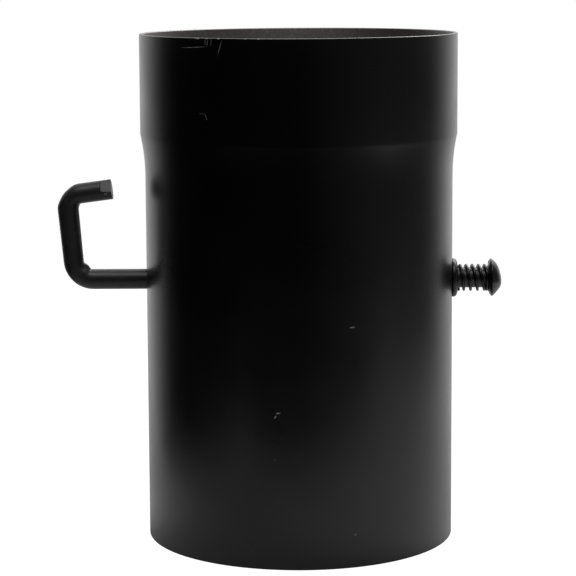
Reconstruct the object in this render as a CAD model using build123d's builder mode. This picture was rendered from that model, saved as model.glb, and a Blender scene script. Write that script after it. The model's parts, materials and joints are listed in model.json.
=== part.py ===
from build123d import *
import os
from math import cos, degrees, radians, sin, sqrt

# Stove pipe section with a butterfly damper.
#
# A welded steel pipe, belled out to a socket at its top, carries one round bar through both of its
# walls. On the left the bar is bent into the handle. Inside, two saddles clamp it to a round plate
# that closes the pipe when the handle is turned. On the right, a spring between a domed washer and
# a push-on cap pulls the bar outwards until the plate's channel bears on a washer at the inside of
# the wall, so friction holds the plate wherever it is set.
#
# Frame: origin on the pipe's axis at its lower end, +Z up, handle towards -X, spring towards +X.
# The damper stands open, with its plate upright in the plane of the handle. Millimetres.

# Pipe
pipe_length = 250.0
pipe_diameter = 152.0
pipe_wall = 2.0
socket_gap = 0.25
socket_depth = 49.0
bell_height = 21.0
edge_break = 0.4
seam_width = 4.0
seam_height = 0.2
seam_azimuth = 128.0

# Bar: spindle and handle in one
bar_diameter = 10.0
bar_clearance = 0.1
spindle_height = 128.0
handle_standoff = 35.6
handle_rise = 42.1
handle_lean = 4.1
arm_reach = 22.7
arm_rise = 3.0
lower_bend = 9.8
upper_bend = 7.6
facet_length = 6.5
facet_depth = 2.0
facet_turn = 53.5
bar_chamfer = 0.8

# Damper plate
plate_gap = 3.0
plate_thickness = 2.0
channel_bend = 1.5
channel_lead = 0.6
draught_hole_diameter = 24.0
draught_hole_offset = 38.0

# Saddles and their fasteners
saddle_thickness = 2.0
saddle_width = 22.0
saddle_foot = 11.0
saddle_inset = 29.0
saddle_corner = 3.0
saddle_bend = 1.5
bolt_diameter = 5.0
bolt_length = 10.0
bolt_hole_clearance = 0.15
bolt_head_flats = 8.0
bolt_head_height = 3.5
nut_height = 4.0
hex_chamfer = 0.5
lock_washer_diameter = 9.2
lock_washer_thickness = 1.2
lock_washer_slit = 0.8

# Washers, spring and cap on the bar
inner_washer_diameter = 20.0
inner_washer_thickness = 2.0
washer_clearance = 0.25
wall_washer_diameter = 19.2
wall_washer_height = 2.7
wall_washer_skirt = 1.0
wall_washer_sheet = 0.9
spring_length = 15.3
spring_turns = 5
spring_wire = 1.5
spring_clearance = 0.3
ring_sheet = 0.5
ring_dish = 1.6
ring_land = 0.9
tooth_count = 6
tooth_slot = 1.0
tooth_reach = 1.3
tooth_lift = 0.6
cap_diameter = 18.9
cap_rise = 4.5
cap_skirt = 0.2
cap_sheet = 0.5
cap_lip = 0.7
cap_clearance = 0.3

# Places that follow from the sizes above
pipe_outer = pipe_diameter / 2
pipe_bore = pipe_outer - pipe_wall
socket_bore = pipe_outer + socket_gap
socket_outer = socket_bore + pipe_wall
socket_start = pipe_length - socket_depth
bell_start = socket_start - bell_height
bar_radius = bar_diameter / 2
spindle_hole = bar_radius + bar_clearance
inner_seat = sqrt(pipe_bore**2 - (inner_washer_diameter / 2) ** 2)
channel_end = inner_seat - inner_washer_thickness
channel_outer = bar_radius + plate_thickness
plate_radius = pipe_bore - plate_gap
saddle_offset = plate_radius - saddle_inset
saddle_face = plate_thickness / 2 + saddle_thickness
saddle_half_span = bar_radius + saddle_thickness + saddle_foot
bolt_offset = saddle_half_span - saddle_foot / 2
bolt_radius = bolt_diameter / 2
washer_bore = bar_radius + washer_clearance
spring_seat = pipe_outer + wall_washer_height
spring_mean_radius = bar_radius + spring_clearance + spring_wire / 2
spring_outer = spring_mean_radius + spring_wire / 2
cap_seat = spring_seat + spring_length

# Sections of what turns about the spindle are drawn as (radius, distance along the spindle).
spindle_axis = Axis((0, 0, spindle_height), (1, 0, 0))
turning_plane = Plane(origin=(0, 0, spindle_height), x_dir=(0, 0, 1), z_dir=(0, 1, 0))

os.makedirs("parts", exist_ok=True)

# Pipe body: rolled from sheet and butt welded, then belled over a mandrel at its top. The bell
# swells in one long arc and ends in a crisp crease, where the straight socket starts.
with BuildPart() as pipe_body:
    with BuildSketch(Plane.XZ) as pipe_section:
        with BuildLine():
            Line((pipe_bore, 0), (pipe_outer, 0))
            Line((pipe_outer, 0), (pipe_outer, bell_start))
            TangentArc((pipe_outer, bell_start), (socket_outer, socket_start), tangent=(0, 1))
            Line((socket_outer, socket_start), (socket_outer, pipe_length))
            Line((socket_outer, pipe_length), (socket_bore, pipe_length))
            Line((socket_bore, pipe_length), (socket_bore, socket_start))
            TangentArc((pipe_bore, bell_start), (socket_bore, socket_start), tangent=(0, 1))
            Line((pipe_bore, bell_start), (pipe_bore, 0))
        make_face()
        chamfer(pipe_section.vertices().group_by(Axis.Y)[-1], length=edge_break)
        chamfer(pipe_section.vertices().group_by(Axis.Y)[0], length=edge_break)
    revolve(axis=Axis.Z)

    # The weld is dressed flat inside and left a little proud outside, on the far side.
    seam_plane = Plane(
        origin=(0, 0, 0),
        x_dir=(cos(radians(seam_azimuth)), sin(radians(seam_azimuth)), 0),
        z_dir=(sin(radians(seam_azimuth)), -cos(radians(seam_azimuth)), 0),
    )
    seam_root = pipe_wall / 2
    seam_bottom = 2 * edge_break
    seam_top = pipe_length - 2 * edge_break
    with BuildSketch(seam_plane):
        with BuildLine():
            Line((pipe_outer - seam_root, seam_bottom), (pipe_outer + seam_height, seam_bottom))
            Line((pipe_outer + seam_height, seam_bottom), (pipe_outer + seam_height, bell_start))
            TangentArc(
                (pipe_outer + seam_height, bell_start),
                (socket_outer + seam_height, socket_start),
                tangent=(0, 1),
            )
            Line((socket_outer + seam_height, socket_start), (socket_outer + seam_height, seam_top))
            Line((socket_outer + seam_height, seam_top), (socket_outer - seam_root, seam_top))
            Line((socket_outer - seam_root, seam_top), (socket_outer - seam_root, socket_start))
            TangentArc(
                (pipe_outer - seam_root, bell_start),
                (socket_outer - seam_root, socket_start),
                tangent=(0, 1),
            )
            Line((pipe_outer - seam_root, bell_start), (pipe_outer - seam_root, seam_bottom))
        make_face()
    revolve(axis=Axis.Z, revolution_arc=degrees(seam_width / pipe_outer))

    # One hole in each wall for the bar, with no bush.
    with BuildSketch(Plane.YZ):
        with Locations((0, spindle_height)):
            Circle(spindle_hole)
    extrude(amount=pipe_outer + 1, both=True, mode=Mode.SUBTRACT)
pipe_body.part.label = "pipe_body"
export_step(pipe_body.part, "parts/pipe_body.step")

# Dome of the cap: a spherical crown on a short skirt, pressed from thin sheet. Its skirt is rolled
# in under the toothed ring. The bar ends just under its crown, so its shape comes first.
cap_radius = cap_diameter / 2
cap_inner = cap_radius - cap_sheet
cap_rim = cap_seat + ring_dish
cap_shoulder = cap_rim + ring_sheet + cap_skirt
cap_top = cap_shoulder + cap_rise
crown_radius = (cap_radius**2 + cap_rise**2) / (2 * cap_rise)
crown_centre = cap_top - crown_radius
bar_end = crown_centre + sqrt((crown_radius - cap_sheet) ** 2 - bar_radius**2) - cap_clearance

# Spindle and handle: one round bar. It leans outwards as it rises, and its short arm points back
# at the pipe with a little upward slope. Its free end was cropped, which left a slanting flat.
handle_corner = pipe_outer + handle_standoff
arm_corner = (-handle_corner - handle_lean, spindle_height + handle_rise)
arm_end = (arm_corner[0] + arm_reach, arm_corner[1] + arm_rise)
with BuildPart() as spindle_handle:
    with BuildLine(Plane.XZ) as bar_line:
        FilletPolyline(
            (bar_end, spindle_height),
            (-handle_corner, spindle_height),
            arm_corner,
            arm_end,
            radius=[lower_bend, upper_bend],
        )
    with BuildSketch(Plane.YZ.offset(bar_end)):
        with Locations((0, spindle_height)):
            Circle(bar_radius)
    sweep()
    chamfer(spindle_handle.edges().filter_by(GeomType.CIRCLE).sort_by(Axis.X)[-1], bar_chamfer)

    arm_direction = Vector(arm_reach, 0, arm_rise).normalized()
    facet_plane = Plane(
        origin=(arm_end[0], 0, arm_end[1]),
        x_dir=arm_direction,
        z_dir=Vector(0, -1, 0).rotate(Axis((0, 0, 0), arm_direction), facet_turn),
    )
    facet_slope = facet_depth / facet_length
    with BuildSketch(facet_plane):
        with BuildLine():
            Polyline(
                (-facet_length, bar_radius),
                (1, bar_radius - facet_depth - facet_slope),
                (1, bar_diameter),
                (-facet_length, bar_diameter),
                close=True,
            )
        make_face()
    extrude(amount=bar_diameter, both=True, mode=Mode.SUBTRACT)
spindle_handle.part.label = "spindle_handle"
export_step(spindle_handle.part, "parts/spindle_handle.step")

# Damper plate: a round plate with a half-round channel pressed across it. The channel takes the
# front half of the bar and runs on past the plate's edge, where its end bears on the inner washer.
# Two holes keep the draught going when the plate is shut.
with BuildPart() as damper_plate:
    with BuildSketch(Plane.YZ) as channel_section:
        with Locations((0, spindle_height)):
            Circle(channel_outer)
            with Locations((channel_outer, 0)):
                Rectangle(2 * channel_outer, 2 * channel_outer, mode=Mode.SUBTRACT)
            Rectangle(plate_thickness, 2 * plate_radius)
            Circle(bar_radius, mode=Mode.SUBTRACT)
            with Locations((plate_thickness / 2, 0)):
                Rectangle(plate_thickness, bar_diameter, mode=Mode.SUBTRACT)
        front_corners = channel_section.vertices().group_by(Axis.X)[0]
        back_corners = channel_section.vertices().group_by(Axis.X)[-1]
        fillet(front_corners.sort_by_distance((0, spindle_height))[:2], radius=channel_bend)
        fillet(back_corners.sort_by_distance((0, spindle_height))[:2], radius=channel_lead)
    extrude(amount=channel_end, both=True)
    with BuildSketch(Plane.XZ):
        with Locations((0, spindle_height)):
            Circle(plate_radius)
            Rectangle(2 * channel_end, 2 * channel_outer)
            with GridLocations(0, 2 * draught_hole_offset, 1, 2):
                Circle(draught_hole_diameter / 2, mode=Mode.SUBTRACT)
            with GridLocations(2 * saddle_offset, 2 * bolt_offset, 2, 2):
                Circle(bolt_radius + bolt_hole_clearance, mode=Mode.SUBTRACT)
    extrude(amount=channel_outer, both=True, mode=Mode.INTERSECT)
damper_plate.part.label = "damper_plate"
export_step(damper_plate.part, "parts/damper_plate.step")

# Saddles: straps pressed over the back half of the bar, with two flat feet on the plate.
for side, place in (("left", -saddle_offset), ("right", saddle_offset)):
    with BuildPart() as saddle:
        with BuildSketch(Plane.YZ.offset(place)) as saddle_section:
            with Locations((0, spindle_height)):
                Circle(bar_radius + saddle_thickness)
                with Locations((saddle_face - saddle_thickness / 2, 0)):
                    Rectangle(saddle_thickness, 2 * saddle_half_span)
                with Locations((plate_thickness / 2 - saddle_half_span, 0)):
                    Rectangle(2 * saddle_half_span, 2 * saddle_half_span, mode=Mode.SUBTRACT)
                Circle(bar_radius, mode=Mode.SUBTRACT)
            back_corners = saddle_section.vertices().filter_by_position(Axis.X, saddle_face, saddle_face)
            fillet(back_corners.sort_by_distance((0, spindle_height))[:2], radius=saddle_bend)
        extrude(amount=saddle_width / 2, both=True)
        with BuildSketch(Plane.XZ):
            with Locations((place, spindle_height)):
                RectangleRounded(saddle_width, 2 * saddle_half_span, saddle_corner)
                with GridLocations(0, 2 * bolt_offset, 1, 2):
                    Circle(bolt_radius + bolt_hole_clearance, mode=Mode.SUBTRACT)
        extrude(amount=-saddle_half_span, mode=Mode.INTERSECT)
    saddle.part.label = f"saddle_{side}"
    export_step(saddle.part, f"parts/saddle_{side}.step")

# Fasteners: at each saddle foot a bolt from the back, and a split washer and nut on the front.
washer_face = plate_thickness / 2
nut_face = washer_face + lock_washer_thickness
bolt_places = [
    (x, spindle_height + z)
    for x in (-saddle_offset, saddle_offset)
    for z in (-bolt_offset, bolt_offset)
]
for number, (x, z) in enumerate(bolt_places, start=1):
    head_plane = Plane(origin=(x, saddle_face, z), x_dir=(1, 0, 0), z_dir=(0, 1, 0))
    with BuildPart() as bolt:
        with BuildSketch(head_plane):
            RegularPolygon(bolt_head_flats / 2, 6, major_radius=False)
        extrude(amount=bolt_head_height)
        chamfer(bolt.faces().sort_by(Axis.Y)[-1].edges(), hex_chamfer)
        with BuildSketch(head_plane):
            Circle(bolt_radius)
        extrude(amount=-bolt_length)
    bolt.part.label = f"bolt_{number}"
    export_step(bolt.part, f"parts/bolt_{number}.step")

    with BuildPart() as lock_washer:
        with BuildSketch(Plane(origin=(x, -washer_face, z), x_dir=(1, 0, 0), z_dir=(0, -1, 0))):
            Circle(lock_washer_diameter / 2)
            Circle(bolt_radius + bolt_hole_clearance, mode=Mode.SUBTRACT)
            with Locations((lock_washer_diameter / 2, 0)):
                Rectangle(lock_washer_diameter, lock_washer_slit, mode=Mode.SUBTRACT)
        extrude(amount=lock_washer_thickness)
    lock_washer.part.label = f"lock_washer_{number}"
    export_step(lock_washer.part, f"parts/lock_washer_{number}.step")

    with BuildPart() as nut:
        with BuildSketch(Plane(origin=(x, -nut_face, z), x_dir=(1, 0, 0), z_dir=(0, -1, 0))):
            RegularPolygon(bolt_head_flats / 2, 6, major_radius=False)
            Circle(bolt_radius, mode=Mode.SUBTRACT)
        extrude(amount=nut_height)
        nut_corners = nut.faces().sort_by(Axis.Y)[0].outer_wire().edges()
        chamfer(nut_corners, hex_chamfer)
    nut.part.label = f"nut_{number}"
    export_step(nut.part, f"parts/nut_{number}.step")

# Inner washer: a flat ring that touches the round wall at its two sides.
with BuildPart() as inner_washer:
    with BuildSketch(Plane.YZ.offset(inner_seat)):
        with Locations((0, spindle_height)):
            Circle(inner_washer_diameter / 2)
            Circle(washer_bore, mode=Mode.SUBTRACT)
    extrude(amount=-inner_washer_thickness)
inner_washer.part.label = "inner_washer"
export_step(inner_washer.part, "parts/inner_washer.step")

# Wall washer: a shallow pressed cup, hollow side to the pipe, with the spring on its flat top.
washer_radius = wall_washer_diameter / 2
washer_inner = washer_radius - wall_washer_sheet
shoulder_start = pipe_outer + wall_washer_skirt
with BuildPart() as wall_washer:
    with BuildSketch(turning_plane):
        with BuildLine():
            Line((washer_bore, spring_seat), (spring_outer, spring_seat))
            TangentArc(
                (spring_outer, spring_seat), (washer_radius, shoulder_start), tangent=(1, 0)
            )
            Line((washer_radius, shoulder_start), (washer_radius, pipe_outer))
            Line((washer_radius, pipe_outer), (washer_inner, pipe_outer))
            Polyline(
                (washer_inner, pipe_outer),
                (spring_outer, spring_seat - wall_washer_sheet),
                (washer_bore, spring_seat - wall_washer_sheet),
                (washer_bore, spring_seat),
            )
        make_face()
    revolve(axis=spindle_axis)
wall_washer.part.label = "wall_washer"
export_step(wall_washer.part, "parts/wall_washer.step")

# Friction spring: right-handed wire, six-sided to keep its faces few. Each half turn is half a
# ring that leans along the bar by half the pitch and runs on smoothly into the next. The first and
# last lean half as much, so that the end coils lie nearly flat on the washer and on the cap.
half_turns = 2 * spring_turns
half_rise = (spring_length - spring_wire) / (half_turns - 1)
with BuildPart() as friction_spring:
    for turn in range(half_turns):
        side = 1 if turn % 2 else -1
        start = spring_seat + spring_wire / 2 + half_rise * max(turn - 0.5, 0)
        end = spring_seat + spring_wire / 2 + half_rise * min(turn + 0.5, half_turns - 1)
        with BuildSketch(Plane.XZ):
            with Locations((start, spindle_height + side * spring_mean_radius)):
                RegularPolygon(spring_wire / 2, 6)
        coil_axis = Axis(
            ((start + end) / 2, 0, spindle_height),
            (spring_mean_radius, 0, side * (end - start) / 2),
        )
        revolve(axis=coil_axis, revolution_arc=180)
friction_spring.part.label = "friction_spring"
export_step(friction_spring.part, "parts/friction_spring.step")

# Toothed ring of the cap: the spring bears on its flat land. Inside the land its teeth slope away
# from the pipe and bite on the bar, so the cap slides on but not off. Outside it is dished.
land_outer = spring_outer
land_inner = spring_outer - ring_land
ring_outer = cap_inner
with BuildPart() as cap_ring:
    with BuildSketch(turning_plane):
        with BuildLine():
            Polyline(
                (bar_radius, cap_seat + tooth_lift),
                (land_inner, cap_seat),
                (land_outer, cap_seat),
                (ring_outer, cap_rim),
                (ring_outer, cap_rim + ring_sheet),
                (land_outer, cap_seat + ring_sheet),
                (land_inner, cap_seat + ring_sheet),
                (bar_radius, cap_seat + ring_sheet + tooth_lift),
                close=True,
            )
        make_face()
    revolve(axis=spindle_axis)
    with BuildSketch(Plane.YZ.offset(cap_seat)):
        with Locations((0, spindle_height)):
            with PolarLocations(bar_radius, tooth_count):
                Rectangle(2 * tooth_reach, tooth_slot)
    extrude(amount=ring_sheet + tooth_lift, mode=Mode.SUBTRACT)
cap_ring.part.label = "cap_ring"
export_step(cap_ring.part, "parts/cap_ring.step")

# Dome of the cap: its skirt is rolled in under the ring's dished edge.
dish_slope = ring_dish / (ring_outer - land_outer)
inner_shoulder = crown_centre + sqrt((crown_radius - cap_sheet) ** 2 - cap_inner**2)
with BuildPart() as cap_dome:
    with BuildSketch(turning_plane):
        with BuildLine():
            TangentArc((0, cap_top), (cap_radius, cap_shoulder), tangent=(1, 0))
            Polyline(
                (cap_radius, cap_shoulder),
                (cap_radius, cap_rim - cap_sheet * dish_slope),
                (cap_radius - cap_lip, cap_rim - cap_sheet - cap_lip * dish_slope),
                (cap_inner - cap_lip, cap_rim - cap_lip * dish_slope),
                (cap_inner, cap_rim),
                (cap_inner, inner_shoulder),
            )
            TangentArc((0, cap_top - cap_sheet), (cap_inner, inner_shoulder), tangent=(1, 0))
            Line((0, cap_top - cap_sheet), (0, cap_top))
        make_face()
    revolve(axis=spindle_axis)
cap_dome.part.label = "cap_dome"
export_step(cap_dome.part, "parts/cap_dome.step")
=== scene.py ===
import json
from math import asin, atan, atan2, cos, degrees, pi, radians, sin, sqrt, tan

import bpy
from mathutils import Matrix, Vector


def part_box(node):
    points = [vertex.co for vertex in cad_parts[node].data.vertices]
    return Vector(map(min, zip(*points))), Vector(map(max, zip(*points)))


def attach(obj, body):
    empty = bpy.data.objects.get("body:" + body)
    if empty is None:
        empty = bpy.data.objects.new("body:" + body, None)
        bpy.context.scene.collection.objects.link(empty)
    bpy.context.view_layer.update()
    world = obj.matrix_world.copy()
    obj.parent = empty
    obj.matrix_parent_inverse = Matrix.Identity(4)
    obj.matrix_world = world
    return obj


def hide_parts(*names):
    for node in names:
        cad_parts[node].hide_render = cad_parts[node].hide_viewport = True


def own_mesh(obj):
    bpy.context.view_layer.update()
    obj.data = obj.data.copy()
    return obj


# A black stove pipe section with a butterfly damper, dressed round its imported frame. Each section
# below is one piece, in the order in which the real section is put together.
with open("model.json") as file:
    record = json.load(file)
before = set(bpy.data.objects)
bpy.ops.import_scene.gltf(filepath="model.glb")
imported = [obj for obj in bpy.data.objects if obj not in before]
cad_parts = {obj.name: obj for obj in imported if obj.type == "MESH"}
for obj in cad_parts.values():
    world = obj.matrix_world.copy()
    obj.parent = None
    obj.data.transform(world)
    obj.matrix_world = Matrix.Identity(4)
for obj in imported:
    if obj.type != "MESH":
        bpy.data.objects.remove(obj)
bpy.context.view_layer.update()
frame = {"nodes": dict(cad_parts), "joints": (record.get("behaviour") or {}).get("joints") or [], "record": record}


# ---------------------------------------------------------------------------------------------
# Pipe: 2 mm mild steel sheet, rolled and butt welded along its length. Its top is belled over a
# mandrel to a socket. The cut rims are eased, and two plain holes are punched for the bar.
mm = 0.001
mounts = {mount["name"]: mount for mount in frame["record"]["mounts"]}
joints = {joint["name"]: joint for joint in frame["joints"]}
spindle = Vector(joints["spindle_turn"]["pos_m"])
pipe_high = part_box("pipe_body")[1]
pipe_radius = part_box("wall_washer")[0].x
socket_radius = pipe_high.x
socket_bore = mounts["socket"]["dims"]["r_mm"] * mm
socket_depth = mounts["socket"]["dims"]["length_mm"] * mm
pipe_wall = socket_radius - socket_bore
pipe_bore = pipe_radius - pipe_wall
pipe_top = pipe_high.z
crease_height = pipe_top - socket_depth
bell_height = 21 * mm
rim_ease = 0.5 * mm
spindle_hole = 5.1 * mm
hole_row_gap = 2 * mm
pipe_steps = 256
round_steps = 96
merge_gap = 0.002 * mm
crease_angle = radians(35)
seam_azimuth = radians(128)
seam_height = 0.25 * mm


def pick_none():
    """Leaves nothing selected, so that the next operator acts on the new piece alone."""
    if bpy.context.mode != "OBJECT":
        bpy.ops.object.mode_set(mode="OBJECT")
    bpy.ops.object.select_all(action="DESELECT")


def pick_only(piece):
    """Leaves one piece selected and active."""
    pick_none()
    piece.select_set(True)
    bpy.context.view_layer.objects.active = piece


def arc(centre, radius, start, end, steps):
    """Points of a round stretch of an outline, from one angle to another in degrees."""
    angles = [radians(start + (end - start) * step / steps) for step in range(steps + 1)]
    return [(centre[0] + radius * cos(angle), centre[1] + radius * sin(angle)) for angle in angles]


def settle(piece):
    """Finishes a mesh: merged, facing outwards, softly shaded and with its place in its mesh."""
    bpy.ops.object.mode_set(mode="EDIT")
    bpy.ops.mesh.select_all(action="SELECT")
    bpy.ops.mesh.remove_doubles(threshold=merge_gap)
    bpy.ops.mesh.normals_make_consistent(inside=False)
    bpy.ops.object.mode_set(mode="OBJECT")
    bpy.ops.object.transform_apply(location=True, rotation=True, scale=True)
    bpy.ops.object.shade_smooth_by_angle(angle=crease_angle)
    return piece


def turned(name, outline, steps, along, centre):
    """A piece turned about an axis, from a closed outline of (radius, distance along the axis)."""
    along = Vector(along)
    out = Vector((1, 0, 0)) if along.z else Vector((0, 0, 1))
    points = [centre + out * radius + along * distance for radius, distance in outline]
    points.append(points[0])
    pick_none()
    bpy.ops.mesh.primitive_plane_add(size=1 * mm, location=points[0])
    piece = bpy.context.object
    piece.name = name
    bpy.ops.object.mode_set(mode="EDIT")
    bpy.ops.mesh.merge(type="CENTER")
    for here, there in zip(points, points[1:]):
        bpy.ops.mesh.extrude_vertices_move(TRANSFORM_OT_translate={"value": there - here})
    bpy.ops.mesh.select_all(action="SELECT")
    bpy.ops.mesh.spin(steps=steps, angle=2 * pi, center=centre, axis=along)
    return settle(piece)


def fit_modifier(piece, kind, **settings):
    """Adds a modifier with its settings and applies it."""
    bpy.context.view_layer.objects.active = piece
    modifier = piece.modifiers.new(kind.title(), kind)
    for setting, value in settings.items():
        setattr(modifier, setting, value)
    bpy.ops.object.modifier_apply(modifier=modifier.name)


def select_points(piece, wanted):
    """Selects the vertices that answer to wanted, by their place, and leaves edit mode on."""
    bpy.ops.object.mode_set(mode="EDIT")
    bpy.ops.mesh.select_mode(type="VERT")
    bpy.ops.mesh.select_all(action="DESELECT")
    bpy.ops.object.mode_set(mode="OBJECT")
    for vertex in piece.data.vertices:
        vertex.select = wanted(vertex.co)
    bpy.ops.object.mode_set(mode="EDIT")


bell_turn = 2 * atan((socket_radius - pipe_radius) / bell_height)
bell_radius = bell_height / sin(bell_turn)
bell_start = crease_height - bell_height
bell_sweep = degrees(bell_turn)
hole_rows = [spindle.z + row * hole_row_gap for row in range(-10, 11)]
wall_rows = [30 * mm, 60 * mm, 90 * mm, *hole_rows, 165 * mm]


def bell(radius):
    """The swelling of one side of the wall, from the plain pipe up to the crease."""
    return arc((radius + bell_radius, bell_start), bell_radius, 180, 180 - bell_sweep, 12)


outer_side = [(pipe_radius, row) for row in wall_rows] + bell(pipe_radius)
inner_side = [(pipe_bore, row) for row in wall_rows] + bell(pipe_bore)
bottom_outer = arc((pipe_radius - rim_ease, rim_ease), rim_ease, -90, 0, 4)
bottom_inner = arc((pipe_bore + rim_ease, rim_ease), rim_ease, 180, 270, 4)
top_outer = arc((socket_radius - rim_ease, pipe_top - rim_ease), rim_ease, 0, 90, 4)
top_inner = arc((socket_bore + rim_ease, pipe_top - rim_ease), rim_ease, 90, 180, 4)
pipe_outline = bottom_outer + outer_side + top_outer + top_inner + inner_side[::-1] + bottom_inner
pipe = turned("stove_pipe", pipe_outline, pipe_steps, (0, 0, 1), Vector((0, 0, 0)))

# The weld stands a little proud of the outside, as one soft ridge on the far side.
seam_column = round(seam_azimuth / (2 * pi) * pipe_steps) * 2 * pi / pipe_steps


def on_seam(place):
    """Whether a vertex is on the outside of the seam's column, clear of both rims."""
    across = Vector((place.x, place.y)).length
    on_column = abs(atan2(place.y, place.x) - seam_column) < 0.1 * 2 * pi / pipe_steps
    on_plain = across > pipe_radius - 0.1 * mm and place.z < crease_height - mm
    on_socket = across > socket_bore + mm
    between_rims = 2 * rim_ease < place.z < pipe_top - rim_ease
    return on_column and (on_plain or on_socket) and between_rims


select_points(pipe, on_seam)
ridge = Vector((cos(seam_column), sin(seam_column), 0)) * seam_height
bpy.ops.transform.translate(value=ridge)

# The two holes for the bar are cut straight through both walls.
pick_none()
bpy.ops.mesh.primitive_cylinder_add(
    vertices=round_steps, radius=spindle_hole, depth=2.5 * socket_radius, location=spindle,
    rotation=(0, pi / 2, 0),
)
punch = bpy.context.object
fit_modifier(pipe, "BOOLEAN", operation="DIFFERENCE", object=punch, solver="EXACT")
bpy.data.objects.remove(punch)
pick_only(pipe)
bpy.ops.object.shade_smooth_by_angle(angle=crease_angle)


def linear(colour):
    """An sRGB hex colour as the linear red, green, blue and alpha that nodes take."""
    parts = [int(colour[start:start + 2], 16) / 255 for start in (1, 3, 5)]
    steps = [part / 12.92 if part <= 0.04045 else ((part + 0.055) / 1.055) ** 2.4 for part in parts]
    return (*steps, 1)


def add(tree, kind, inputs=(), **settings):
    """Adds a node: its settings first, then its inputs by name or number, as values or links."""
    made = tree.nodes.new(kind)
    for setting, value in settings.items():
        setattr(made, setting, value)
    for socket, value in dict(inputs).items():
        if isinstance(value, bpy.types.NodeSocket):
            tree.links.new(value, made.inputs[socket])
        else:
            made.inputs[socket].default_value = value
    return made


def new_material(name):
    """An empty material, its node tree and its output node."""
    material = bpy.data.materials.new(name)
    material.use_nodes = True
    material.node_tree.nodes.clear()
    output = add(material.node_tree, "ShaderNodeOutputMaterial")
    return material, material.node_tree, output


def dress(piece, material, body, slot, *nodes):
    """Gives a piece its finish, the body it moves with and the nodes it stands for; its slot is not used."""
    piece.data.materials.clear()
    piece.data.materials.append(material)
    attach(piece, body)
    if nodes:
        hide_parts(*nodes)


# Heat-resistant silicone paint, sprayed and stoved: black with a soft satin gloss. The spray
# leaves a faint pebble, handling leaves dull smudges, and hard knocks bare short grey lines.
paint_pebble = 0.9 * mm
paint_grain = 0.25 * mm
smudge_span = 30 * mm
chip_fray = 0.8 * mm
chips = [
    # (round the pipe from the front, height, half length, half width, slope), mm and degrees
    (-51.5, 245.6, 8.0, 0.16, 3),
    (-44.3, 248.2, 1.6, 0.14, 88),
    (-43.1, 248.0, 1.8, 0.14, 88),
    (-41.0, 248.0, 1.8, 0.12, 86),
    (-36.6, 245.6, 4.2, 0.13, 72),
    (-49.0, 249.8, 1.7, 0.40, 0),
    (-43.4, 249.8, 0.6, 0.35, 0),
    (-37.2, 249.8, 0.8, 0.40, 0),
    (-24.0, 249.8, 0.5, 0.30, 0),
    (-18.0, 249.8, 0.7, 0.35, 0),
    (-46.6, 214.9, 2.0, 0.12, -6),
    (-44.2, 213.6, 1.8, 0.20, -68),
    (25.0, 115.4, 1.5, 0.38, 4),
    (-10.3, 75.4, 1.2, 0.42, 8),
    (-11.6, 73.6, 0.9, 0.45, 60),
    (-12.0, 53.0, 0.7, 0.12, 30),
    (26.5, 16.0, 0.45, 0.35, 10),
]
heat_paint, tree, output = new_material("stoved_heat_paint")
place = add(tree, "ShaderNodeTexCoord").outputs["Object"]
split = add(tree, "ShaderNodeSeparateXYZ", {0: place})
behind = add(tree, "ShaderNodeMath", {0: split.outputs["Y"], 1: -1.0}, operation="MULTIPLY")
turn = add(
    tree, "ShaderNodeMath", {0: split.outputs["X"], 1: behind.outputs[0]}, operation="ARCTAN2"
)
around = add(
    tree, "ShaderNodeMath", {0: turn.outputs[0], 1: pipe_radius / mm}, operation="MULTIPLY"
)
upward = add(tree, "ShaderNodeMath", {0: split.outputs["Z"], 1: 1 / mm}, operation="MULTIPLY")
unrolled = add(tree, "ShaderNodeCombineXYZ", {"X": around.outputs[0], "Y": upward.outputs[0]})
frayed = add(tree, "ShaderNodeTexNoise", {"Vector": place, "Scale": 1 / chip_fray, "Detail": 3})
fray = add(
    tree, "ShaderNodeVectorMath", {0: frayed.outputs["Color"], 1: (0.5, 0.5, 0.5)},
    operation="SUBTRACT",
)
bared = None
for chip_around, chip_height, half_length, half_width, slope in chips:
    local = add(
        tree, "ShaderNodeMapping",
        {
            "Vector": unrolled.outputs[0],
            "Location": (chip_around, chip_height, 0),
            "Rotation": (0, 0, radians(slope)),
            "Scale": (half_length, half_width, 1),
        },
        vector_type="TEXTURE",
    )
    ragged = add(
        tree, "ShaderNodeVectorMath",
        {0: fray.outputs[0], 1: (0.8, 1.2, 0), 2: local.outputs[0]},
        operation="MULTIPLY_ADD",
    )
    reach = add(tree, "ShaderNodeVectorMath", {0: ragged.outputs[0]}, operation="LENGTH")
    mark = add(
        tree, "ShaderNodeMapRange",
        {
            "Value": reach.outputs["Value"], "From Min": 0.5, "From Max": 1.1,
            "To Min": 1, "To Max": 0,
        },
    )
    if bared is None:
        bared = mark.outputs[0]
    else:
        joined = add(tree, "ShaderNodeMath", {0: bared, 1: mark.outputs[0]}, operation="MAXIMUM")
        bared = joined.outputs[0]
facing = add(
    tree, "ShaderNodeMapRange",
    {"Value": split.outputs["Y"], "From Min": 0, "From Max": -1 * mm, "To Min": 0, "To Max": 1},
)
chipped = add(tree, "ShaderNodeMath", {0: bared, 1: facing.outputs[0]}, operation="MULTIPLY")
pebble = add(tree, "ShaderNodeTexNoise", {"Vector": place, "Scale": 1 / paint_pebble, "Detail": 2})
grain = add(tree, "ShaderNodeTexNoise", {"Vector": place, "Scale": 1 / paint_grain, "Detail": 1})
relief = add(
    tree, "ShaderNodeMath", {0: grain.outputs[0], 1: 0.35, 2: pebble.outputs[0]},
    operation="MULTIPLY_ADD",
)
bump = add(
    tree, "ShaderNodeBump", {"Height": relief.outputs[0], "Strength": 0.12, "Distance": 0.06 * mm}
)
smudge = add(tree, "ShaderNodeTexNoise", {"Vector": place, "Scale": 1 / smudge_span, "Detail": 4})
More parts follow.
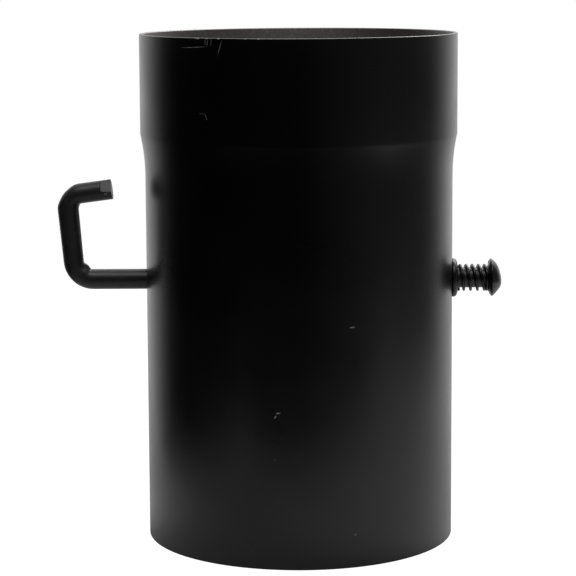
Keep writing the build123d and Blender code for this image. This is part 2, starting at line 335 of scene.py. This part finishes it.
gloss = add(
    tree, "ShaderNodeMapRange",
    {"Value": smudge.outputs[0], "From Min": 0.3, "From Max": 0.7, "To Min": 0.27, "To Max": 0.33},
)
roughness = add(
    tree, "ShaderNodeMix", {0: chipped.outputs[0], 2: gloss.outputs[0], 3: 0.55}, data_type="FLOAT"
)
colour = add(
    tree, "ShaderNodeMix",
    {0: chipped.outputs[0], 6: linear("#050505"), 7: linear("#8a8a88")}, data_type="RGBA",
)
# The inside only catches dry overspray: the dark scale of the sheet shows through, with pale dust.
dust_grain = 1.1 * mm
outward = add(tree, "ShaderNodeCombineXYZ", {"X": split.outputs["X"], "Y": split.outputs["Y"]})
normal = add(tree, "ShaderNodeNewGeometry").outputs["Normal"]
facing_out = add(
    tree, "ShaderNodeVectorMath", {0: normal, 1: outward.outputs[0]}, operation="DOT_PRODUCT"
)
inside = add(
    tree, "ShaderNodeMapRange",
    {
        "Value": facing_out.outputs["Value"], "To Min": 0, "To Max": 1,
        "From Min": -0.2 * pipe_bore, "From Max": -0.8 * pipe_bore,
    },
)
dust = add(tree, "ShaderNodeTexNoise", {"Vector": place, "Scale": 1 / dust_grain, "Detail": 3})
specks = add(
    tree, "ShaderNodeMapRange",
    {"Value": dust.outputs[0], "From Min": 0.5, "From Max": 0.75, "To Min": 0, "To Max": 1},
)
scale_tone = add(
    tree, "ShaderNodeMix",
    {0: specks.outputs[0], 6: linear("#807e7b"), 7: linear("#9c9a97")}, data_type="RGBA",
)
both_sides = add(
    tree, "ShaderNodeMix",
    {0: inside.outputs[0], 6: colour.outputs[2], 7: scale_tone.outputs[2]}, data_type="RGBA",
)
both_glosses = add(
    tree, "ShaderNodeMix",
    {0: inside.outputs[0], 2: roughness.outputs[0], 3: 0.5}, data_type="FLOAT",
)
shader = add(
    tree, "ShaderNodeBsdfPrincipled",
    {
        "Base Color": both_sides.outputs[2], "Roughness": both_glosses.outputs[0],
        "Metallic": inside.outputs[0], "Normal": bump.outputs[0], "IOR": 1.5,
    },
)
tree.links.new(shader.outputs[0], output.inputs[0])
dress(pipe, heat_paint, "pipe", "heat_paint", "pipe_body")


# ---------------------------------------------------------------------------------------------
# Inner washer: a punched flat ring in zinc-plated steel. It bears on the inside of the wall at
# its two sides and takes the pull of the spring from the end of the plate's channel.
inner_low, inner_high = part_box("inner_washer")
inner_radius = inner_high.y
washer_bore = 5.25 * mm
inner_ease = 0.25 * mm
ring_face = [
    (washer_bore, inner_low.x + inner_ease),
    (washer_bore + inner_ease, inner_low.x),
]
ring_outline = (
    ring_face
    + arc((inner_radius - inner_ease, inner_low.x + inner_ease), inner_ease, -90, 0, 3)
    + arc((inner_radius - inner_ease, inner_high.x - inner_ease), inner_ease, 0, 90, 3)
    + [(washer_bore + inner_ease, inner_high.x), (washer_bore, inner_high.x - inner_ease)]
)
axis_base = Vector((0, 0, spindle.z))
inner_ring = turned("inner_washer_ring", ring_outline, round_steps, (1, 0, 0), axis_base)
zinc_cloud = 2.5 * mm


def zinc_finish():
    """Bright zinc plate, gone a little dull: grey metal with a soft, cloudy lustre."""
    material, tree, output = new_material("bright_zinc_plate")
    place = add(tree, "ShaderNodeTexCoord").outputs["Object"]
    cloud = add(tree, "ShaderNodeTexNoise", {"Vector": place, "Scale": 1 / zinc_cloud, "Detail": 4})
    tone = add(
        tree, "ShaderNodeMix",
        {0: cloud.outputs[0], 6: linear("#a9adb0"), 7: linear("#c9ccce")}, data_type="RGBA",
    )
    gloss = add(
        tree, "ShaderNodeMapRange",
        {
            "Value": cloud.outputs[0], "From Min": 0.3, "From Max": 0.7,
            "To Min": 0.28, "To Max": 0.42,
        },
    )
    shader = add(
        tree, "ShaderNodeBsdfPrincipled",
        {"Base Color": tone.outputs[2], "Metallic": 1.0, "Roughness": gloss.outputs[0]},
    )
    tree.links.new(shader.outputs[0], output.inputs[0])
    return material


zinc = zinc_finish()
dress(inner_ring, zinc, "pipe", "zinc_plate", "inner_washer")


# ---------------------------------------------------------------------------------------------
# Wall washer: a shallow cup pressed from thin sheet, its hollow side to the pipe. It spreads the
# spring's push over the round wall, and it is sprayed black with the pipe.
cup_low, cup_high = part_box("wall_washer")
cup_radius = cup_high.y
cup_sheet = 0.9 * mm
cup_flat = 6.8 * mm
cup_skirt = 0.9 * mm
cup_rise = cup_high.x - cup_low.x - cup_skirt
cup_reach = cup_radius - cup_flat
cup_lip = 0.3 * mm
cup_steps = 12
cup_outline = [(washer_bore, cup_high.x)]
for step in range(cup_steps + 1):
    angle = radians(90 - 90 * step / cup_steps)
    height = cup_low.x + cup_skirt + cup_rise * sin(angle)
    cup_outline.append((cup_flat + cup_reach * cos(angle), height))
cup_outline += [
    (cup_radius - cup_lip / 3, cup_low.x + cup_lip / 2),
    (cup_radius - cup_lip, cup_low.x),
    (cup_radius - cup_sheet, cup_low.x),
    (cup_flat, cup_high.x - cup_sheet),
    (washer_bore, cup_high.x - cup_sheet),
]
cup = turned("wall_washer_cup", cup_outline, round_steps, (1, 0, 0), axis_base)
wear_patch = 6 * mm
paint_grit = 0.5 * mm


def black_finish(name, colour, low_gloss, high_gloss, worn, pale_spot=None):
    """Thin black paint on handled steel: satin, slightly uneven, rubbed a little paler in spots.

    A small pale grey spot, given by its middle, its half sizes and its slope, is mixed into the colour.
    """
    material, tree, output = new_material(name)
    place = add(tree, "ShaderNodeTexCoord").outputs["Object"]
    cloud = add(tree, "ShaderNodeTexNoise", {"Vector": place, "Scale": 1 / wear_patch, "Detail": 5})
    grit = add(tree, "ShaderNodeTexNoise", {"Vector": place, "Scale": 1 / paint_grit, "Detail": 2})
    rub = add(
        tree, "ShaderNodeMapRange",
        {"Value": cloud.outputs[0], "From Min": 0.55, "From Max": 0.8, "To Min": 0, "To Max": 1},
    )
    tone = add(
        tree, "ShaderNodeMix",
        {0: rub.outputs[0], 6: linear(colour), 7: linear(worn)}, data_type="RGBA",
    )
    gloss = add(
        tree, "ShaderNodeMapRange",
        {
            "Value": cloud.outputs[0], "From Min": 0.3, "From Max": 0.7,
            "To Min": low_gloss, "To Max": high_gloss,
        },
    )
    # A small pale grey spot, mixed into the colour at one place.
    if pale_spot:
        middle, half_sizes, slope = pale_spot
        local = add(
            tree, "ShaderNodeMapping",
            {"Vector": place, "Location": middle, "Rotation": (0, slope, 0), "Scale": half_sizes},
            vector_type="TEXTURE",
        )
        reach = add(tree, "ShaderNodeVectorMath", {0: local.outputs[0]}, operation="LENGTH")
        pale_spot_mask = add(
            tree, "ShaderNodeMapRange",
            {
                "Value": reach.outputs["Value"], "From Min": 0.6, "From Max": 1,
                "To Min": 1, "To Max": 0,
            },
        )
        tone = add(
            tree, "ShaderNodeMix",
            {0: pale_spot_mask.outputs[0], 6: tone.outputs[2], 7: linear("#b0b0ae")}, data_type="RGBA",
        )
    bump = add(
        tree, "ShaderNodeBump",
        {"Height": grit.outputs[0], "Strength": 0.2, "Distance": 0.05 * mm},
    )
    shader = add(
        tree, "ShaderNodeBsdfPrincipled",
        {
            "Base Color": tone.outputs[2], "Roughness": gloss.outputs[0],
            "Normal": bump.outputs[0], "IOR": 1.5,
        },
    )
    tree.links.new(shader.outputs[0], output.inputs[0])
    return material


cup_paint = black_finish("sprayed_washer_paint", "#101010", 0.34, 0.42, "#1c1c1c")
dress(cup, cup_paint, "pipe", "heat_paint", "wall_washer")


# ---------------------------------------------------------------------------------------------
# Spindle and handle: one round mild steel bar, bent cold twice, so the metal is gathered inside
# each bend. Its free end was cropped in shears, which left a slanting flat on it.
bar_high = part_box("spindle_handle")[1]
bar_radius = bar_high.y
bar_sides = 48
bar_chamfer = 0.8 * mm
bend_steps = 16
arm_steps = 10
lower_bend = 9.8 * mm
upper_bend = 7.6 * mm
handle_corner = Vector((-111.6 * mm, 0, spindle.z))
arm_corner = handle_corner + Vector((-4.1 * mm, 0, 42.1 * mm))
arm_end = arm_corner + Vector((22.7 * mm, 0, 3.0 * mm))


def extrude_bar(step):
    """Pushes the open end of the bar on along a straight run."""
    bpy.ops.mesh.extrude_region_move(TRANSFORM_OT_translate={"value": step})


def bend_bar(centre, turn, steps):
    """Bends the open end of the bar round a centre, about a level axis from front to back."""
    bpy.ops.mesh.spin(steps=steps, angle=-turn, center=centre, axis=(0, 1, 0))


first_run = (handle_corner - Vector((bar_high.x, 0, spindle.z))).normalized()
upright = (arm_corner - handle_corner).normalized()
arm = (arm_end - arm_corner).normalized()
lower_turn = first_run.angle(upright)
upper_turn = upright.angle(arm)
lower_cut = lower_bend * tan(lower_turn / 2)
upper_cut = upper_bend * tan(upper_turn / 2)
pick_none()
bpy.ops.mesh.primitive_circle_add(
    vertices=bar_sides, radius=bar_radius - bar_chamfer, fill_type="NGON",
    location=(bar_high.x, 0, spindle.z), rotation=(0, pi / 2, 0),
)
bar = bpy.context.object
bar.name = "bar_handle"
bpy.ops.object.mode_set(mode="EDIT")
extrude_bar((-bar_chamfer, 0, 0))
swell = bar_radius / (bar_radius - bar_chamfer)
bpy.ops.transform.resize(value=(1, swell, swell))
bend_start = handle_corner - first_run * lower_cut
extrude_bar((bend_start.x - bar_high.x + bar_chamfer, 0, 0))
bend_bar(bend_start + Vector((0, 0, lower_bend)), lower_turn, bend_steps)
extrude_bar(upright * ((arm_corner - handle_corner).length - lower_cut - upper_cut))
inward = Vector((upright.z, 0, -upright.x))
bend_bar(arm_corner - upright * upper_cut + inward * upper_bend, upper_turn, bend_steps)
arm_run = (arm_end - arm_corner).length - upper_cut
for part in range(arm_steps):
    extrude_bar(arm * (arm_run / arm_steps))
settle(bar)


def push(piece, spot, reach, shift, spread):
    """Moves the surface round a spot, and what lies about it less and less."""
    select_points(piece, lambda place: (place - spot).length < reach)
    bpy.ops.transform.translate(
        value=shift, use_proportional_edit=True, use_proportional_connected=True,
        proportional_size=spread, proportional_edit_falloff="SMOOTH",
    )
    bpy.ops.object.mode_set(mode="OBJECT")


# The bends: metal gathered in small lumps inside, and the upper one drawn flat outside.
lower_inside = (upright - first_run).normalized()
upper_inside = (arm - upright).normalized()
lower_middle = handle_corner + lower_inside * lower_bend * (1 / cos(lower_turn / 2) - 1)
upper_middle = arm_corner + upper_inside * upper_bend * (1 / cos(upper_turn / 2) - 1)
lump_reach = 0.9 * mm
lumps = [
    # (in front of the middle, up the bend, height, spread), mm
    (0.0, 0.2, 0.7, 2.2),
    (-1.8, 0.5, 0.6, 2.2),
    (-3.2, -1.2, 0.45, 1.8),
]
for front, up_bend, height, spread in lumps:
    depth = sqrt(bar_radius**2 - (front * mm) ** 2)
    spot = lower_middle + lower_inside * depth + Vector((0, front * mm, 0)) + upright * up_bend * mm
    push(bar, spot, lump_reach, lower_inside * height * mm, spread * mm)
upper_lump = 0.5 * mm
upper_spread = 1.8 * mm
upper_spot = upper_middle + upper_inside * bar_radius - upright * 1.2 * mm
push(bar, upper_spot, lump_reach, inward * upper_lump, upper_spread)
drawn_reach = 2.5 * mm
drawn_depth = 0.55 * mm
drawn_spread = 6 * mm
drawn_spot = upper_middle - upper_inside * bar_radius
push(bar, drawn_spot, drawn_reach, upper_inside * drawn_depth, drawn_spread)

# The cropped end: a flat that deepens towards the end, with a short steep run-in behind it. The
# block that cuts it stands clear of the bar by the spare length.
flat_length = 6.5 * mm
flat_depth = 1.7 * mm
flat_start = 1.0 * mm
flat_ramp = 1.4 * mm
flat_turn = radians(53.5)
spare = 4 * mm
burr_ease = 0.4 * mm
burr_angle = radians(28)
arm_top = Vector((-arm.z, 0, arm.x))
flat_facing = arm_top * cos(flat_turn) - Vector((0, 1, 0)) * sin(flat_turn)
pick_none()
bpy.ops.mesh.primitive_cube_add(
    size=1, location=((spare - flat_length) / 2, 0, (spare - flat_start) / 2),
    scale=(flat_length + spare, 4 * bar_radius, spare + flat_start),
)
shear = bpy.context.object
bpy.ops.object.transform_apply(location=True, rotation=True, scale=True)
select_points(shear, lambda place: place.x < 0 and place.z < 0)
bpy.ops.transform.translate(value=(flat_ramp, 0, 0))
select_points(shear, lambda place: place.x > 0 and place.z < 0)
bpy.ops.transform.translate(value=(0, 0, (flat_start - flat_depth) * (1 + spare / flat_length)))
bpy.ops.object.mode_set(mode="OBJECT")
shear_turn = Matrix((arm, flat_facing.cross(arm), flat_facing)).transposed().to_4x4()
shear.matrix_world = Matrix.Translation(arm_end + flat_facing * bar_radius) @ shear_turn
fit_modifier(bar, "BOOLEAN", operation="DIFFERENCE", object=shear, solver="EXACT")
bpy.data.objects.remove(shear)
pick_only(bar)
fit_modifier(
    bar, "BEVEL", width=burr_ease, segments=3, limit_method="ANGLE", angle_limit=burr_angle
)
settle(bar)
# A small pale grey spot on the front of the bar, just below the flat near its end.
end_pale_spot = ((-95.6 * mm, -bar_radius, arm_end.z - 1.9 * mm), (1.0 * mm, 3 * mm, 0.28 * mm), 0)
bar_paint = black_finish("sprayed_bar_paint", "#262626", 0.4, 0.48, "#303030", end_pale_spot)
dress(bar, bar_paint, "damper", "bar_paint", "spindle_handle")


# ---------------------------------------------------------------------------------------------
# Damper plate and saddles: 2 mm cold-rolled sheet, blanked and pressed. The plate's channel and
# the two saddles grip the bar between them. Bare steel, dull, with the rolling still to be seen.
def eased_copy(name, node, ease):
    """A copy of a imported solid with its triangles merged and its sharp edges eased."""
    pick_none()
    piece = frame["nodes"][node].copy()
    piece.data = piece.data.copy()
    piece.parent = None
    piece.name = name
    bpy.context.scene.collection.objects.link(piece)
    pick_only(piece)
    bpy.ops.object.mode_set(mode="EDIT")
    bpy.ops.mesh.select_all(action="SELECT")
    bpy.ops.mesh.remove_doubles(threshold=merge_gap)
    bpy.ops.mesh.dissolve_limited(angle_limit=radians(0.5))
    bpy.ops.object.mode_set(mode="OBJECT")
    fit_modifier(
        piece, "BEVEL", width=ease, segments=2, limit_method="ANGLE", angle_limit=crease_angle
    )
    bpy.ops.object.shade_smooth_by_angle(angle=crease_angle)
    return piece


sheet_ease = 0.2 * mm
rolling_pitch = 0.6 * mm
rolling_stretch = 0.03
stain_span = 25 * mm
rolled_steel, tree, output = new_material("cold_rolled_sheet")
place = add(tree, "ShaderNodeTexCoord").outputs["Object"]
stretched = add(tree, "ShaderNodeMapping", {"Vector": place, "Scale": (rolling_stretch, 1, 1)})
rolling = add(
    tree, "ShaderNodeTexNoise",
    {"Vector": stretched.outputs[0], "Scale": 1 / rolling_pitch, "Detail": 3},
)
stain = add(tree, "ShaderNodeTexNoise", {"Vector": place, "Scale": 1 / stain_span, "Detail": 5})
tone = add(
    tree, "ShaderNodeMix",
    {0: stain.outputs[0], 6: linear("#5d5c5a"), 7: linear("#7d7d7c")}, data_type="RGBA",
)
gloss = add(
    tree, "ShaderNodeMapRange",
    {"Value": stain.outputs[0], "From Min": 0.3, "From Max": 0.7, "To Min": 0.36, "To Max": 0.52},
)
bump = add(
    tree, "ShaderNodeBump",
    {"Height": rolling.outputs[0], "Strength": 0.15, "Distance": 0.03 * mm},
)
shader = add(
    tree, "ShaderNodeBsdfPrincipled",
    {
        "Base Color": tone.outputs[2], "Metallic": 1.0, "Roughness": gloss.outputs[0],
        "Normal": bump.outputs[0],
    },
)
tree.links.new(shader.outputs[0], output.inputs[0])
flap = eased_copy("throttle_flap", "damper_plate", sheet_ease)
dress(flap, rolled_steel, "damper", "plate_steel", "damper_plate")
for side in ("left", "right"):
    strap = eased_copy(f"{side}_strap", f"saddle_{side}", sheet_ease)
    dress(strap, rolled_steel, "damper", "plate_steel", f"saddle_{side}")


# ---------------------------------------------------------------------------------------------
# Fasteners: four M5 hexagon bolts through the saddles' feet, each with a split washer and a nut.
# Cold-headed and rolled steel, zinc plated. Heads and nuts are turned off at 30 degrees.
thread_radius = 2.5 * mm
thread_pitch = 0.8 * mm
thread_depth = 0.45 * mm
thread_end = 0.3 * mm
thread_crease = radians(25)
shank_steps = 48
flats = 8 * mm
crown_share = 0.94
crown_slope = radians(30)
crown_steps = 72
crown_flat = crown_share * flats / 2
corner_radius = flats / sqrt(3)
crown_drop = (corner_radius - crown_flat) * tan(crown_slope)
saddle_sheet = 2 * mm
washer_ease = 0.1 * mm
bolt_count = 4


def hexagon(name, centre, near, far, crowned_near, crowned_far):
    """A hexagon across an axis from front to back, its corners turned off at one end or both."""
    pick_none()
    bpy.ops.mesh.primitive_cylinder_add(
        vertices=6, radius=corner_radius, depth=far - near,
        location=(centre.x, (near + far) / 2, centre.z), rotation=(pi / 2, 0, 0),
    )
    piece = bpy.context.object
    piece.name = name
    bpy.ops.object.transform_apply(location=True, rotation=True, scale=True)
    reach = corner_radius + crown_drop
    outline = [(0, near)]
    outline += [(crown_flat, near), (corner_radius, near + crown_drop)] if crowned_near else []
    outline += [] if crowned_near else [(reach, near)]
    outline += [(corner_radius, far - crown_drop), (crown_flat, far)] if crowned_far else []
    outline += [] if crowned_far else [(reach, far)]
    outline.append((0, far))
    drum = turned("drum", outline, crown_steps, (0, 1, 0), Vector((centre.x, 0, centre.z)))
    fit_modifier(piece, "BOOLEAN", operation="INTERSECT", object=drum, solver="EXACT")
    bpy.data.objects.remove(drum)
    return piece


for number in range(1, bolt_count + 1):
    bolt_low, bolt_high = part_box(f"bolt_{number}")
    nut_low, nut_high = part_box(f"nut_{number}")
    centre = (bolt_low + bolt_high) / 2
    head_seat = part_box("saddle_left")[0].y + saddle_sheet
    head = hexagon(f"bolt_head_{number}", centre, head_seat, bolt_high.y, False, True)
    core = thread_radius - thread_depth
    thread = [(0, head_seat), (thread_radius, head_seat), (thread_radius, nut_high.y)]
    turns = int((nut_high.y - bolt_low.y - thread_end) / thread_pitch)
    for turn_number in range(turns):
        root = nut_high.y - (turn_number + 0.5) * thread_pitch
        thread += [(core, root), (thread_radius, root - thread_pitch / 2)]
    thread += [(core, bolt_low.y), (0, bolt_low.y)]
    middle = Vector((centre.x, 0, centre.z))
    shank = turned(f"bolt_shank_{number}", thread, shank_steps, (0, 1, 0), middle)
    pick_only(head)
    shank.select_set(True)
    bpy.ops.object.join()
    head.name = f"hex_bolt_{number}"
    bpy.ops.object.shade_smooth_by_angle(angle=thread_crease)
    dress(head, zinc, "damper", "zinc_plate", f"bolt_{number}")
    hex_nut = hexagon(f"hex_nut_{number}", centre, nut_low.y, nut_high.y, True, True)
    dress(hex_nut, zinc, "damper", "zinc_plate", f"nut_{number}")
    split_washer = eased_copy(f"split_washer_{number}", f"lock_washer_{number}", washer_ease)
    dress(split_washer, zinc, "damper", "zinc_plate", f"lock_washer_{number}")


# ---------------------------------------------------------------------------------------------
# Friction spring: 1.5 mm music wire, wound right-handed in five turns and blacked in oil. Pushed
# on with the cap, it sits a little askew: its coils lean more towards the cap, low side out.
spring_start = cup_high.x
spring_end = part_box("cap_ring")[0].x
wire = 1.5 * mm
wire_sides = 16
coil_radius = 6.05 * mm
coil_turns = 5
coil_steps = 40
coil_pitch = 3.215 * mm
coil_slack = 0.07 * mm
lean_growth = 0.056


def coil_place(turned_by):
    """How far along the bar the wire has come, after so many turns from its low end."""
    first = spring_start + wire / 2
    last = spring_end - wire / 2
    level = spring_start - coil_slack + coil_pitch * turned_by
    lean = lean_growth * (level - spring_start) * cos(2 * pi * turned_by)
    return min(max(level + lean, first), last)


pick_none()
bpy.ops.mesh.primitive_circle_add(
    vertices=wire_sides, radius=wire / 2, fill_type="NGON",
    location=(coil_place(0), 0, spindle.z - coil_radius), rotation=(pi / 2, 0, 0),
)
coil = bpy.context.object
coil.name = "wound_spring"
bpy.ops.object.mode_set(mode="EDIT")
for step in range(coil_turns * coil_steps):
    advance = coil_place((step + 1) / coil_steps) - coil_place(step / coil_steps)
    bpy.ops.mesh.extrude_region_move(TRANSFORM_OT_translate={"value": (advance, 0, 0)})
    bpy.ops.transform.rotate(
        value=-2 * pi / coil_steps, orient_axis="X", center_override=(0, 0, spindle.z)
    )
settle(coil)
spring_black = black_finish("oil_blackened_spring_wire", "#0c0c0c", 0.26, 0.34, "#161616")
dress(coil, spring_black, "pipe", "spring_steel", "friction_spring")
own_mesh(coil)


# ---------------------------------------------------------------------------------------------
# Cap: a toothed ring of spring steel inside a dome drawn from thin sheet, with the dome's skirt
# rolled in under the ring. It was hammered on to the bar's end, which left it tipped a little.
dome_low, dome_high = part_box("cap_dome")
dome_radius = dome_high.y
dome_sheet = 0.5 * mm
dome_rise = 5.0 * mm
dome_lip = 0.7 * mm
dome_rim = 0.35 * mm
dome_tip = radians(1.5)
dome_clearance = 0.1 * mm
pole_reach = 1 * mm
pole_slip = 1.5 * mm
pole_spread = 7 * mm
tooth_ease = 0.08 * mm
crown_radius = (dome_radius**2 + dome_rise**2) / (2 * dome_rise)
crown_span = degrees(asin(dome_radius / crown_radius))
crown_centre = (0, dome_high.x - dome_clearance - crown_radius)
dome_outline = arc(crown_centre, crown_radius, 90, 90 - crown_span, 24)
shoulder_height = dome_outline[-1][1]
dome_outline += [
    *arc((dome_radius - dome_rim, shoulder_height - 0.1 * mm), dome_rim, 0, -50, 4),
    (dome_radius - dome_lip - dome_sheet, dome_low.x),
    (dome_radius - dome_lip - dome_sheet, dome_low.x + dome_sheet),
    (dome_radius - dome_sheet - dome_rim, shoulder_height - dome_sheet),
]
inner_span = degrees(asin((dome_radius - dome_sheet) / (crown_radius - dome_sheet)))
dome_outline += arc(crown_centre, crown_radius - dome_sheet, 90 - inner_span, 90, 12)
dome = turned("domed_cap", dome_outline, round_steps, (1, 0, 0), axis_base)
pole = Vector((dome_high.x, 0, spindle.z))
push(dome, pole, pole_reach, (0, 0, -pole_slip), pole_spread)
bpy.ops.object.mode_set(mode="EDIT")
bpy.ops.mesh.select_all(action="SELECT")
bpy.ops.transform.rotate(
    value=dome_tip, orient_axis="Y", center_override=(dome_low.x, 0, spindle.z)
)
bpy.ops.object.mode_set(mode="OBJECT")
cap_black = black_finish("blackened_cap_steel", "#0a0a0a", 0.24, 0.34, "#151515")
dress(dome, cap_black, "damper", "cap_paint", "cap_dome")
toothed_ring = eased_copy("toothed_ring", "cap_ring", tooth_ease)
dress(toothed_ring, cap_black, "damper", "spring_steel", "cap_ring")


# ---------------------------------------------------------------------------------------------
# Studio: a white paper sheet under the pipe, a white wall behind it, a dim wall to the right, and
# soft boxes above. The room in front is dark, which the satin paint shows as its deep black.
backdrop_white = linear("#ffffff")
sheet_front = -0.27
sheet_back = 0.9
sheet_width = 0.72
sheet_shift = 0.14
sheet_glow = 1.15
glow_share = 0.9
pick_none()
bpy.ops.mesh.primitive_plane_add(size=1, location=(sheet_shift, (sheet_front + sheet_back) / 2, 0))
floor = bpy.context.object
floor.name = "studio_floor"
floor.scale = (sheet_width, sheet_back - sheet_front, 1)
bpy.ops.object.transform_apply(location=True, rotation=True, scale=True)

# Matt white paper. Seen directly it is bleached out to white, and the pipe mirrors it as it is lit.
floor_paper, tree, output = new_material("white_paper_floor")
paper = add(tree, "ShaderNodeBsdfDiffuse", {"Color": linear("#dadada")})
glow = add(tree, "ShaderNodeEmission", {"Color": backdrop_white, "Strength": sheet_glow})
path = add(tree, "ShaderNodeLightPath")
bleached = add(
    tree, "ShaderNodeMath", {0: path.outputs["Is Camera Ray"], 1: glow_share},
    operation="MULTIPLY",
)
sheet = add(
    tree, "ShaderNodeMixShader",
    {0: bleached.outputs[0], 1: paper.outputs[0], 2: glow.outputs[0]},
)
tree.links.new(sheet.outputs[0], output.inputs[0])
floor.data.materials.append(floor_paper)

# The room: its walls and ceiling by direction, and plain white where it is seen directly.
world = bpy.data.worlds.new("studio")
world.use_nodes = True
bpy.context.scene.world = world
tree = world.node_tree
tree.nodes.clear()
direction = add(tree, "ShaderNodeTexCoord").outputs["Generated"]
toward = add(tree, "ShaderNodeSeparateXYZ", {0: direction})
above = add(tree, "ShaderNodeMath", {0: toward.outputs["Z"], 1: 0.0}, operation="MAXIMUM")
leaning = add(
    tree, "ShaderNodeMath", {0: above.outputs[0], 1: 0.35, 2: toward.outputs["Y"]},
    operation="MULTIPLY_ADD",
)
backdrop = add(
    tree, "ShaderNodeMapRange",
    {"Value": leaning.outputs[0], "From Min": 0.35, "From Max": 0.92, "To Min": 0, "To Max": 1.0},
    interpolation_type="SMOOTHSTEP",
)
right_wall = add(
    tree, "ShaderNodeMapRange",
    {
        "Value": toward.outputs["X"], "From Min": 0.1, "From Max": 0.9,
        "To Min": 0.002, "To Max": 0.11,
    },
)
ceiling = add(
    tree, "ShaderNodeMapRange",
    {"Value": toward.outputs["Z"], "From Min": 0.75, "From Max": 0.95, "To Min": 0, "To Max": 0.3},
    interpolation_type="SMOOTHSTEP",
)
walls = add(
    tree, "ShaderNodeMath", {0: backdrop.outputs[0], 1: right_wall.outputs[0]}, operation="ADD"
)
room = add(
    tree, "ShaderNodeMath", {0: walls.outputs[0], 1: ceiling.outputs[0]}, operation="MAXIMUM"
)
path = add(tree, "ShaderNodeLightPath")
seen = add(
    tree, "ShaderNodeMath", {0: path.outputs["Is Camera Ray"], 1: room.outputs[0]},
    operation="MAXIMUM",
)
light = add(tree, "ShaderNodeBackground", {"Color": backdrop_white, "Strength": seen.outputs[0]})
output = add(tree, "ShaderNodeOutputWorld")
tree.links.new(light.outputs[0], output.inputs[0])


def soft_box(name, place, aim, width, height, power):
    """A soft box: a rectangular lamp that faces the point it is aimed at."""
    lamp = bpy.data.lights.new(name, "AREA")
    lamp.shape = "RECTANGLE"
    lamp.size = width
    lamp.size_y = height
    lamp.energy = power
    box = bpy.data.objects.new(name, lamp)
    box.location = place
    box.rotation_euler = (Vector(aim) - Vector(place)).to_track_quat("-Z", "Y").to_euler()
    bpy.context.scene.collection.objects.link(box)


soft_box(
    "soft_box_behind", place=(0.5, 0.85, 1.1), aim=(0.15, 0.5, 0), width=1.0, height=0.8, power=14.5
)
soft_box(
    "soft_box_front", place=(0, -0.3, 0.82), aim=(0, -0.1, 0.1), width=0.65, height=0.3, power=2.8
)

# The camera stands a little over a metre in front, just above the rim, and looks slightly down.
camera_back = 1.056
camera_height = 0.286
look_down = radians(7.23)
roll = radians(0.3)
look_left = radians(0.264)
camera = bpy.data.cameras.new("camera")
camera.sensor_width = 36
camera.lens = 133.7
camera.shift_y = -0.1
view_point = bpy.data.objects.new("camera", camera)
view_point.location = (0, -camera_back, camera_height)
view_point.rotation_euler = (pi / 2 - look_down, roll, look_left)
bpy.context.scene.collection.objects.link(view_point)
bpy.context.scene.camera = view_point
bpy.context.scene.view_settings.view_transform = "Standard"
